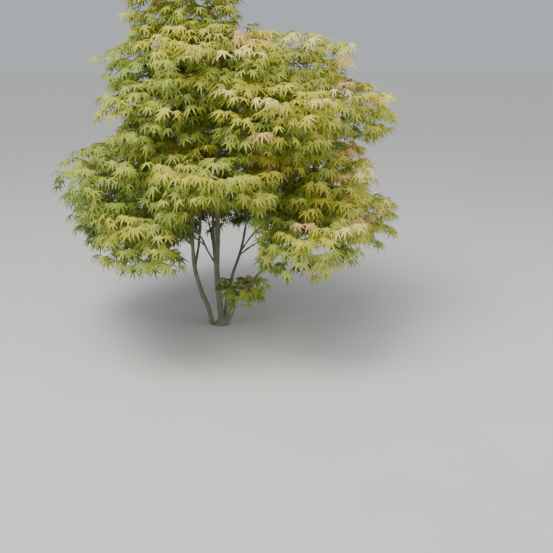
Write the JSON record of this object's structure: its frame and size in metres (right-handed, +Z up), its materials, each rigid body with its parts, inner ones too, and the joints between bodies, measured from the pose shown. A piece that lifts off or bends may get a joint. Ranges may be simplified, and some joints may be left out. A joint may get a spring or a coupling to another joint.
{
  "type": "multi-stemmed japanese maple",
  "caption": "Young Japanese maple rooted in the ground: slim stems from one flared foot, arching boughs and layered masses of lobed, drooping leaves.",
  "frame": {"origin": "centre of the middle stem on the flat cut at ground level", "axes": "+Z up along the stems, +X to the right and +Y away from the front of the plant"},
  "size_m": [1.7589, 1.6852, 1.9267],
  "materials": {
    "bark": "matte",
    "leaf_deep": "satin",
    "leaf_green": "satin",
    "leaf_gold": "satin"
  },
  "bodies": {
    "root": {"middle_stem": "bark", "left_stem": "bark", "right_stem": "bark", "slanting_stem": "bark", "low_shoot": "bark", "left_fork": "bark", "middle_fork": "bark", "thin_fork": "bark", "skirt_back_right_bough": "bark", "skirt_back_left_bough": "bark", "skirt_left_bough": "bark", "skirt_front_left_bough": "bark", "skirt_front_right_bough": "bark", "tier_right_bough": "bark", "tier_back_bough": "bark", "tier_back_left_bough": "bark", "tier_front_bough": "bark", "tier_front_right_bough": "bark", "shoulder_right_bough": "bark", "shoulder_front_right_bough": "bark", "upper_right_bough": "bark", "upper_back_bough": "bark", "upper_front_bough": "bark", "skirt_right_leaves": "leaf_deep", "skirt_back_right_leaves": "leaf_deep", "skirt_back_left_leaves": "leaf_deep", "skirt_left_leaves": "leaf_deep", "skirt_front_left_leaves": "leaf_deep", "skirt_front_right_leaves": "leaf_deep", "low_spray_leaves": "leaf_deep", "tier_right_leaves": "leaf_green", "tier_back_leaves": "leaf_green", "tier_back_left_leaves": "leaf_green", "tier_front_left_leaves": "leaf_green", "tier_front_leaves": "leaf_green", "tier_front_right_leaves": "leaf_green", "shoulder_right_leaves": "leaf_green", "shoulder_back_right_leaves": "leaf_green", "shoulder_back_left_leaves": "leaf_green", "shoulder_front_left_leaves": "leaf_green", "shoulder_front_right_leaves": "leaf_green", "upper_right_leaves": "leaf_gold", "upper_back_leaves": "leaf_gold", "upper_left_leaves": "leaf_gold", "upper_front_leaves": "leaf_gold", "top_leaves": "leaf_gold"}
  },
  "joints": []
}
